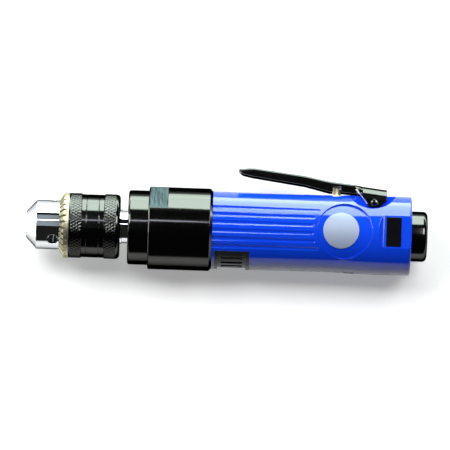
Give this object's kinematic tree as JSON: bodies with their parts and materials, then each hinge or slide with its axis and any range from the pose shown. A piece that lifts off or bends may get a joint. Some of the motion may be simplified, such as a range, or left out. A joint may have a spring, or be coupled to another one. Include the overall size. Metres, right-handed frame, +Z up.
{
  "type": "straight air drill",
  "caption": "Straight air drill: keyed jaw chuck, geared spindle, fluted round housing around a vane motor, side throttle lever and threaded rear air inlet.",
  "frame": {"origin": "on the tool axis, in the middle of the front collar that a drill stand or clamp grips", "axes": "+X along the tool axis towards the air inlet, +Y towards the throttle lever, +Z up as the tool lies on its side"},
  "size_m": [0.2105, 0.0545, 0.0434],
  "materials": {
    "polished_steel": "polished bright steel",
    "bare_steel": "ground bare steel, slightly warm",
    "black_steel": "black oxide steel with a satin sheen",
    "hardened_steel": "hardened and ground steel",
    "bearing_steel": "ground bearing steel",
    "blue_enamel": "glossy blue enamel on cast aluminium",
    "brass": "turned brass",
    "bronze": "sintered bronze",
    "grey_iron": "ground cast iron",
    "black_rubber": "black nitrile rubber",
    "felt": "wool felt",
    "gasket_paper": "gasket paper",
    "vane_fibre": "phenolic fibre",
    "cage_nylon": "moulded nylon",
    "silver_foil": "bare brushed foil",
    "black_film": "bare black film",
    "deflector_plastic": "near-black moulded plastic"
  },
  "bodies": {
    "housing": {"front_cap": "black_steel", "spindle_seal": "felt", "front_bearing_outer": "bearing_steel", "spindle_bush": "bronze", "gear_case": "black_steel", "ring_gear": "hardened_steel", "front_end_plate": "grey_iron", "rotor_front_bearing_outer": "bearing_steel", "motor_cylinder": "grey_iron", "cylinder_dowel": "hardened_steel", "rear_end_plate": "grey_iron", "rotor_rear_bearing_outer": "bearing_steel", "rear_gasket": "gasket_paper", "housing": "blue_enamel", "exhaust_deflector": "deflector_plastic", "exhaust_felt": "felt", "name_disc": "silver_foil", "side_label": "black_film", "lever_pin": "black_steel", "plunger_bush": "brass", "plunger_seal": "black_rubber", "valve_seat": "brass", "valve_spring": "hardened_steel", "inlet_bush": "black_steel", "inlet_seal": "black_rubber", "inlet_screen": "brass"},
    "spindle": {"chuck_body": "polished_steel", "spindle": "polished_steel", "spindle_spacer": "hardened_steel", "planet_pins": "hardened_steel", "planet_retainer": "hardened_steel", "front_bearing_inner": "bearing_steel"},
    "chuck_sleeve": {"chuck_sleeve": "black_steel", "chuck_toothed_ring": "bare_steel", "chuck_nut": "hardened_steel"},
    "chuck_jaw_1": {"chuck_jaw_1": "hardened_steel"},
    "chuck_jaw_2": {"chuck_jaw_2": "hardened_steel"},
    "chuck_jaw_3": {"chuck_jaw_3": "hardened_steel"},
    "planet_gear_1": {"planet_gear_1": "hardened_steel"},
    "planet_gear_2": {"planet_gear_2": "hardened_steel"},
    "planet_gear_3": {"planet_gear_3": "hardened_steel"},
    "rotor": {"rotor": "hardened_steel", "rotor_vanes": "vane_fibre", "rotor_front_bearing_inner": "bearing_steel", "rotor_rear_bearing_inner": "bearing_steel"},
    "front_bearing_cage": {"front_bearing_balls": "bearing_steel", "front_bearing_cage": "cage_nylon"},
    "rotor_front_bearing_cage": {"rotor_front_bearing_balls": "bearing_steel", "rotor_front_bearing_cage": "cage_nylon"},
    "rotor_rear_bearing_cage": {"rotor_rear_bearing_balls": "bearing_steel", "rotor_rear_bearing_cage": "cage_nylon"},
    "throttle_lever": {"throttle_lever": "black_steel"},
    "throttle_valve": {"throttle_plunger": "brass", "valve_poppet": "cage_nylon"},
    "regulator": {"regulator_screw": "hardened_steel", "regulator_seal": "black_rubber"}
  },
  "joints": [
    {"name": "spindle_spin", "type": "hinge", "parent": "housing", "child": "spindle", "pos_m": [0, 0, 0], "axis": [1, 0, 0], "continuous": true},
    {"name": "planet_spin_1", "type": "hinge", "parent": "spindle", "child": "planet_gear_1", "pos_m": [0.024, 0, 0.009], "axis": [1, 0, 0], "continuous": true},
    {"name": "planet_spin_2", "type": "hinge", "parent": "spindle", "child": "planet_gear_2", "pos_m": [0.024, -0.00779, -0.0045], "axis": [1, 0, 0], "continuous": true},
    {"name": "planet_spin_3", "type": "hinge", "parent": "spindle", "child": "planet_gear_3", "pos_m": [0.024, 0.00779, -0.0045], "axis": [1, 0, 0], "continuous": true},
    {"name": "rotor_spin", "type": "hinge", "parent": "housing", "child": "rotor", "pos_m": [0.06, 0, 0], "axis": [1, 0, 0], "continuous": true},
    {"name": "front_bearing_cage_spin", "type": "hinge", "parent": "housing", "child": "front_bearing_cage", "pos_m": [0.001, 0, 0], "axis": [1, 0, 0], "continuous": true},
    {"name": "rotor_front_bearing_cage_spin", "type": "hinge", "parent": "housing", "child": "rotor_front_bearing_cage", "pos_m": [0.03445, 0, 0], "axis": [1, 0, 0], "continuous": true},
    {"name": "rotor_rear_bearing_cage_spin", "type": "hinge", "parent": "housing", "child": "rotor_rear_bearing_cage", "pos_m": [0.08705, 0, 0], "axis": [1, 0, 0], "continuous": true},
    {"name": "chuck_sleeve_turn", "type": "hinge", "parent": "spindle", "child": "chuck_sleeve", "pos_m": [-0.02535, 0, 0], "axis": [1, 0, 0], "range_deg": [0, 3348.2]},
    {"name": "chuck_jaw_slide_1", "type": "slide", "parent": "spindle", "child": "chuck_jaw_1", "axis": [-0.9703, 0.2357, 0.0544], "range_m": [0, 0.01861]},
    {"name": "chuck_jaw_slide_2", "type": "slide", "parent": "spindle", "child": "chuck_jaw_2", "axis": [-0.9703, -0.165, 0.1769], "range_m": [0, 0.01861]},
    {"name": "chuck_jaw_slide_3", "type": "slide", "parent": "spindle", "child": "chuck_jaw_3", "axis": [-0.9703, -0.0707, -0.2314], "range_m": [0, 0.01861]},
    {"name": "throttle_lever_press", "type": "hinge", "parent": "housing", "child": "throttle_lever", "pos_m": [0.12345, 0.0165, 0], "axis": [0, 0, 1], "range_deg": [0, 6], "stiffness_Nm_per_rad": 2, "springref_deg": -8.59},
    {"name": "throttle_valve_slide", "type": "slide", "parent": "housing", "child": "throttle_valve", "axis": [0, -1, 0], "range_m": [0, 0.0021], "deforming": ["valve_spring"]},
    {"name": "regulator_turn", "type": "hinge", "parent": "housing", "child": "regulator", "pos_m": [0.11135, -0.01, 0], "axis": [0, -1, 0], "range_deg": [0, 90]}
  ],
  "couplings": [
    {"joint": "planet_spin_1", "follows": "spindle_spin", "ratio": -2.5},
    {"joint": "planet_spin_2", "follows": "spindle_spin", "ratio": -2.5},
    {"joint": "planet_spin_3", "follows": "spindle_spin", "ratio": -2.5},
    {"joint": "rotor_spin", "follows": "spindle_spin", "ratio": 6},
    {"joint": "front_bearing_cage_spin", "follows": "spindle_spin", "ratio": 0.4093},
    {"joint": "rotor_front_bearing_cage_spin", "follows": "spindle_spin", "ratio": 2.16},
    {"joint": "rotor_rear_bearing_cage_spin", "follows": "spindle_spin", "ratio": 2.16},
    {"joint": "chuck_jaw_slide_1", "follows": "chuck_sleeve_turn", "m_per_rad": 0.00031831},
    {"joint": "chuck_jaw_slide_2", "follows": "chuck_sleeve_turn", "m_per_rad": 0.00031831},
    {"joint": "chuck_jaw_slide_3", "follows": "chuck_sleeve_turn", "m_per_rad": 0.00031831},
    {"joint": "throttle_valve_slide", "follows": "throttle_lever_press", "m_per_rad": 0.0198}
  ]
}
